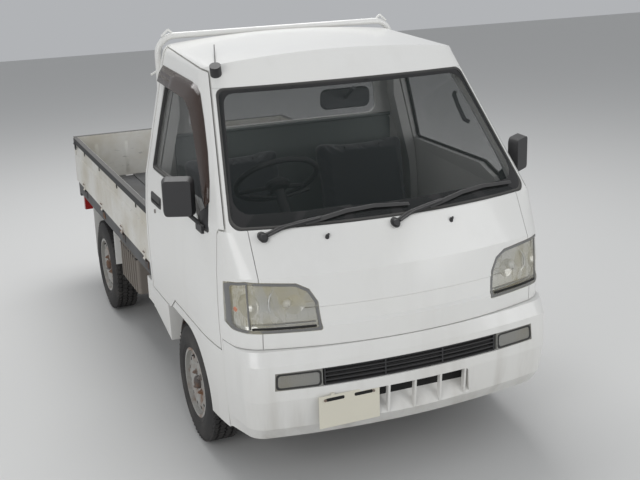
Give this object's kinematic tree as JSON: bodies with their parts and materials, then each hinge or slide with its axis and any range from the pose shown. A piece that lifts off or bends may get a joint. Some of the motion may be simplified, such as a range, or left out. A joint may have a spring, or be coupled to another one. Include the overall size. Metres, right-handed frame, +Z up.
{
  "type": "small forward-control pickup truck",
  "caption": "Small cab-over pickup truck with drop-side bed, guard frame behind the cab, steering front wheels, opening doors and folding gates.",
  "frame": {"origin": "centre of the ground rectangle under the vehicle, on the ground", "axes": "+Z up, the front faces -Y, +X is the vehicle's left side"},
  "size_m": [1.7202, 3.395, 1.7786],
  "materials": {
    "bare_steel": "dull",
    "bed_paint": "worn paint",
    "black_paint": "satin chassis paint",
    "black_plastic": "grained",
    "brown_plastic": "ribbed",
    "cast": "cast",
    "clear_lens": "aged clear",
    "floor_paint": "dark worn paint",
    "glass": "clear",
    "grey_plastic": "grained",
    "plate": "flat",
    "red_lens": "clear red",
    "reflector": "bright",
    "seat_cloth": "woven",
    "tyre": "matt",
    "wheel_paint": "satin wheel paint",
    "white_paint": "gloss paint"
  },
  "bodies": {
    "vehicle": {"front_corners": "white_paint", "front_panel": "white_paint", "roof_panel": "white_paint", "rear_wall": "white_paint", "sills": "white_paint", "rear_window": "glass", "windscreen": "glass", "cab_floor": "grey_plastic", "wheelhouses": "black_paint", "front_bumper": "white_paint", "bumper_grille": "black_plastic", "bumper_lamps": "clear_lens", "headlamp_lenses": "clear_lens", "headlamp_housings": "reflector", "wipers": "black_plastic", "number_plates": "plate", "dashboard": "grey_plastic", "steering_column": "black_plastic", "seats": "seat_cloth", "aerial": "black_plastic", "bed_floor": "floor_paint", "bed_sills": "black_paint", "bed_headboard": "bed_paint", "gate_hinges": "black_paint", "guard_frame": "white_paint", "chassis_frame": "black_paint", "rear_axle": "cast", "leaf_springs": "bare_steel", "front_arms": "black_paint", "spare_wheel": "tyre", "engine_block": "cast", "exhaust": "bare_steel", "fuel_tank": "black_paint", "battery_box": "brown_plastic", "mudguards": "white_paint", "rear_lamps": "red_lens"},
    "door_right": {"door_right": "white_paint", "door_glass_right": "glass", "mirror_right": "black_plastic"},
    "side_gate_right": {"side_gate_right": "bed_paint"},
    "door_left": {"door_left": "white_paint", "door_glass_left": "glass", "mirror_left": "black_plastic"},
    "side_gate_left": {"side_gate_left": "bed_paint"},
    "tailgate": {"tailgate": "bed_paint"},
    "knuckle_right": {"knuckle_right": "cast", "strut_right": "black_paint"},
    "knuckle_left": {"knuckle_left": "cast", "strut_left": "black_paint"},
    "wheel_front_right": {"tyre_front_right": "tyre", "rim_front_right": "wheel_paint"},
    "wheel_front_left": {"tyre_front_left": "tyre", "rim_front_left": "wheel_paint"},
    "wheel_rear_right": {"tyre_rear_right": "tyre", "rim_rear_right": "wheel_paint"},
    "wheel_rear_left": {"tyre_rear_left": "tyre", "rim_rear_left": "wheel_paint"},
    "steering_wheel": {"steering_wheel": "black_plastic"}
  },
  "joints": [
    {"name": "door_right_hinge", "type": "hinge", "parent": "vehicle", "child": "door_right", "pos_m": [-0.716, -1.415, 0.9], "axis": [0, 0, 1], "range_deg": [0, 65]},
    {"name": "side_gate_right_hinge", "type": "hinge", "parent": "vehicle", "child": "side_gate_right", "pos_m": [-0.731, 0.69, 0.641], "axis": [0, -1, 0], "range_deg": [0, 175]},
    {"name": "door_left_hinge", "type": "hinge", "parent": "vehicle", "child": "door_left", "pos_m": [0.716, -1.415, 0.9], "axis": [0, 0, -1], "range_deg": [0, 65]},
    {"name": "side_gate_left_hinge", "type": "hinge", "parent": "vehicle", "child": "side_gate_left", "pos_m": [0.731, 0.69, 0.641], "axis": [0, 1, 0], "range_deg": [0, 175]},
    {"name": "tailgate_hinge", "type": "hinge", "parent": "vehicle", "child": "tailgate", "pos_m": [0, 1.691, 0.641], "axis": [-1, 0, 0], "range_deg": [0, 175]},
    {"name": "steer_right", "type": "hinge", "parent": "vehicle", "child": "knuckle_right", "pos_m": [-0.612, -0.928, 0.175], "axis": [0.2183, 0, 0.9759], "range_deg": [-32, 32]},
    {"name": "steer_left", "type": "hinge", "parent": "vehicle", "child": "knuckle_left", "pos_m": [0.612, -0.928, 0.175], "axis": [-0.2183, 0, 0.9759], "range_deg": [-32, 32]},
    {"name": "wheel_front_right_spin", "type": "hinge", "parent": "knuckle_right", "child": "wheel_front_right", "pos_m": [-0.6525, -0.928, 0.271], "axis": [1, 0, 0], "continuous": true},
    {"name": "wheel_front_left_spin", "type": "hinge", "parent": "knuckle_left", "child": "wheel_front_left", "pos_m": [0.6525, -0.928, 0.271], "axis": [1, 0, 0], "continuous": true},
    {"name": "wheel_rear_right_spin", "type": "hinge", "parent": "vehicle", "child": "wheel_rear_right", "pos_m": [-0.6525, 0.972, 0.271], "axis": [1, 0, 0], "continuous": true},
    {"name": "wheel_rear_left_spin", "type": "hinge", "parent": "vehicle", "child": "wheel_rear_left", "pos_m": [0.6525, 0.972, 0.271], "axis": [1, 0, 0], "continuous": true},
    {"name": "steering_wheel_turn", "type": "hinge", "parent": "vehicle", "child": "steering_wheel", "pos_m": [-0.33, -1.05, 1.19], "axis": [0, 0.6428, 0.766], "range_deg": [-580, 580]}
  ],
  "couplings": [
    {"joint": "steer_left", "follows": "steer_right", "ratio": 1},
    {"joint": "steering_wheel_turn", "follows": "steer_right", "ratio": 18}
  ]
}
